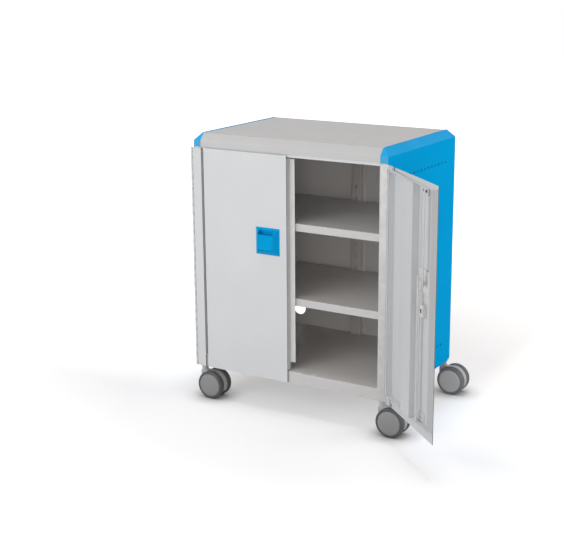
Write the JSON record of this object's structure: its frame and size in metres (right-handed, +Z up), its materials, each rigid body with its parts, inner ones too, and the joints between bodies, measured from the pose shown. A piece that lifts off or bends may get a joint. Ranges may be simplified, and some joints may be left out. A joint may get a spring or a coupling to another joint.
{
  "type": "mobile storage cabinet",
  "caption": "Sheet-steel storage cabinet with chamfered top, hinged double doors, inner shelves and swivelling twin-wheel castors.",
  "frame": {"origin": "centre of the worktop's flat top, midway between the sides and between the front and the back", "axes": "+Z up, square to the worktop; the doors face -Y; +X is towards the open door"},
  "size_m": [1.0495, 0.7937, 0.951],
  "materials": {
    "grey_paint": "light grey satin powder coat",
    "blue_paint": "bright blue satin powder coat",
    "blue_plastic": "blue moulded handle",
    "zinc_steel": "zinc-plated steel",
    "housing_plastic": "light grey moulded castor housing",
    "wheel_plastic": "grey moulded wheel with a darker tread"
  },
  "bodies": {
    "carcass": {"top_panel": "grey_paint", "back_panel": "grey_paint", "base_pan": "grey_paint", "front_post_left": "grey_paint", "front_post_right": "grey_paint", "rear_post_left": "grey_paint", "rear_post_right": "grey_paint", "head_rail": "grey_paint", "back_standard": "grey_paint", "shelf_upper": "grey_paint", "shelf_lower": "grey_paint", "side_panel_left": "blue_paint", "side_panel_right": "blue_paint", "shelf_clip_upper_front_left": "zinc_steel", "shelf_clip_upper_front_right": "zinc_steel", "shelf_clip_upper_rear_left": "zinc_steel", "shelf_clip_upper_rear_right": "zinc_steel", "shelf_clip_lower_front_left": "zinc_steel", "shelf_clip_lower_front_right": "zinc_steel", "shelf_clip_lower_rear_left": "zinc_steel", "shelf_clip_lower_rear_right": "zinc_steel", "hinge_leaf_post_left": "zinc_steel", "hinge_leaf_post_right": "zinc_steel", "hinge_pin_left": "zinc_steel", "hinge_pin_right": "zinc_steel", "castor_stem_front_left": "zinc_steel", "castor_stem_front_right": "zinc_steel", "castor_stem_rear_left": "zinc_steel", "castor_stem_rear_right": "zinc_steel"},
    "left_door": {"door_left": "grey_paint", "stiffener_left": "grey_paint", "hinge_leaf_door_left": "zinc_steel", "astragal_left": "grey_paint", "bezel_left": "blue_plastic"},
    "right_door": {"door_right": "grey_paint", "stiffener_right": "grey_paint", "hinge_leaf_door_right": "zinc_steel", "bezel_right": "blue_plastic"},
    "left_paddle": {"paddle_left": "blue_plastic"},
    "right_paddle": {"paddle_right": "blue_plastic"},
    "lock_cam": {"lock_cam": "zinc_steel"},
    "lock_rod_upper": {"lock_rod_upper": "zinc_steel"},
    "lock_rod_lower": {"lock_rod_lower": "zinc_steel"},
    "castor_front_left": {"castor_housing_front_left": "housing_plastic", "castor_axle_front_left": "zinc_steel"},
    "wheel_front_left_front": {"castor_wheel_front_left_front": "wheel_plastic"},
    "wheel_front_left_rear": {"castor_wheel_front_left_rear": "wheel_plastic"},
    "castor_front_right": {"castor_housing_front_right": "housing_plastic", "castor_axle_front_right": "zinc_steel"},
    "wheel_front_right_front": {"castor_wheel_front_right_front": "wheel_plastic"},
    "wheel_front_right_rear": {"castor_wheel_front_right_rear": "wheel_plastic"},
    "castor_rear_left": {"castor_housing_rear_left": "housing_plastic", "castor_axle_rear_left": "zinc_steel"},
    "wheel_rear_left_front": {"castor_wheel_rear_left_front": "wheel_plastic"},
    "wheel_rear_left_rear": {"castor_wheel_rear_left_rear": "wheel_plastic"},
    "castor_rear_right": {"castor_housing_rear_right": "housing_plastic", "castor_axle_rear_right": "zinc_steel"},
    "wheel_rear_right_front": {"castor_wheel_rear_right_front": "wheel_plastic"},
    "wheel_rear_right_rear": {"castor_wheel_rear_right_rear": "wheel_plastic"}
  },
  "joints": [
    {"name": "left_door_hinge", "type": "hinge", "parent": "carcass", "child": "left_door", "pos_m": [-0.3805, -0.2572, -0.4425], "axis": [0, 0, -1], "range_deg": [0, 260]},
    {"name": "right_door_hinge", "type": "hinge", "parent": "carcass", "child": "right_door", "pos_m": [0.3805, -0.2572, -0.4425], "axis": [0, 0, 1], "range_deg": [-139, 121]},
    {"name": "left_paddle_pull", "type": "hinge", "parent": "left_door", "child": "left_paddle", "pos_m": [-0.072, -0.2739, -0.3716], "axis": [1, 0, 0], "range_deg": [0, 22], "stiffness_Nm_per_rad": 0.3},
    {"name": "right_paddle_pull", "type": "hinge", "parent": "right_door", "child": "right_paddle", "pos_m": [0.619, -0.4424, -0.3716], "axis": [-0.7547, 0.6561, 0], "range_deg": [0, 22], "stiffness_Nm_per_rad": 0.3},
    {"name": "lock_cam_turn", "type": "hinge", "parent": "right_door", "child": "lock_cam", "pos_m": [0.59788, -0.4667, -0.3456], "axis": [-0.6561, -0.7547, 0], "range_deg": [0, 40]},
    {"name": "lock_rod_upper_slide", "type": "slide", "parent": "right_door", "child": "lock_rod_upper", "axis": [0, 0, 1], "range_m": [0, 0.0124]},
    {"name": "lock_rod_lower_slide", "type": "slide", "parent": "right_door", "child": "lock_rod_lower", "axis": [0, 0, -1], "range_m": [0, 0.0123]},
    {"name": "castor_front_left_swivel", "type": "hinge", "parent": "carcass", "child": "castor_front_left", "pos_m": [-0.3591, -0.239, -0.86], "axis": [0, 0, 1], "continuous": true},
    {"name": "wheel_front_left_front_roll", "type": "hinge", "parent": "castor_front_left", "child": "wheel_front_left_front", "pos_m": [-0.3191, -0.2636, -0.901], "axis": [0, 1, 0], "continuous": true},
    {"name": "wheel_front_left_rear_roll", "type": "hinge", "parent": "castor_front_left", "child": "wheel_front_left_rear", "pos_m": [-0.3191, -0.2144, -0.901], "axis": [0, 1, 0], "continuous": true},
    {"name": "castor_front_right_swivel", "type": "hinge", "parent": "carcass", "child": "castor_front_right", "pos_m": [0.3591, -0.239, -0.86], "axis": [0, 0, 1], "continuous": true},
    {"name": "wheel_front_right_front_roll", "type": "hinge", "parent": "castor_front_right", "child": "wheel_front_right_front", "pos_m": [0.3991, -0.2636, -0.901], "axis": [0, 1, 0], "continuous": true},
    {"name": "wheel_front_right_rear_roll", "type": "hinge", "parent": "castor_front_right", "child": "wheel_front_right_rear", "pos_m": [0.3991, -0.2144, -0.901], "axis": [0, 1, 0], "continuous": true},
    {"name": "castor_rear_left_swivel", "type": "hinge", "parent": "carcass", "child": "castor_rear_left", "pos_m": [-0.3591, 0.2372, -0.86], "axis": [0, 0, 1], "continuous": true},
    {"name": "wheel_rear_left_front_roll", "type": "hinge", "parent": "castor_rear_left", "child": "wheel_rear_left_front", "pos_m": [-0.3191, 0.2126, -0.901], "axis": [0, 1, 0], "continuous": true},
    {"name": "wheel_rear_left_rear_roll", "type": "hinge", "parent": "castor_rear_left", "child": "wheel_rear_left_rear", "pos_m": [-0.3191, 0.2618, -0.901], "axis": [0, 1, 0], "continuous": true},
    {"name": "castor_rear_right_swivel", "type": "hinge", "parent": "carcass", "child": "castor_rear_right", "pos_m": [0.3591, 0.2372, -0.86], "axis": [0, 0, 1], "continuous": true},
    {"name": "wheel_rear_right_front_roll", "type": "hinge", "parent": "castor_rear_right", "child": "wheel_rear_right_front", "pos_m": [0.3991, 0.2126, -0.901], "axis": [0, 1, 0], "continuous": true},
    {"name": "wheel_rear_right_rear_roll", "type": "hinge", "parent": "castor_rear_right", "child": "wheel_rear_right_rear", "pos_m": [0.3991, 0.2618, -0.901], "axis": [0, 1, 0], "continuous": true}
  ],
  "couplings": [
    {"joint": "lock_rod_upper_slide", "follows": "lock_rod_lower_slide", "ratio": 1},
    {"joint": "lock_cam_turn", "follows": "lock_rod_lower_slide", "rad_per_m": 56.7}
  ]
}
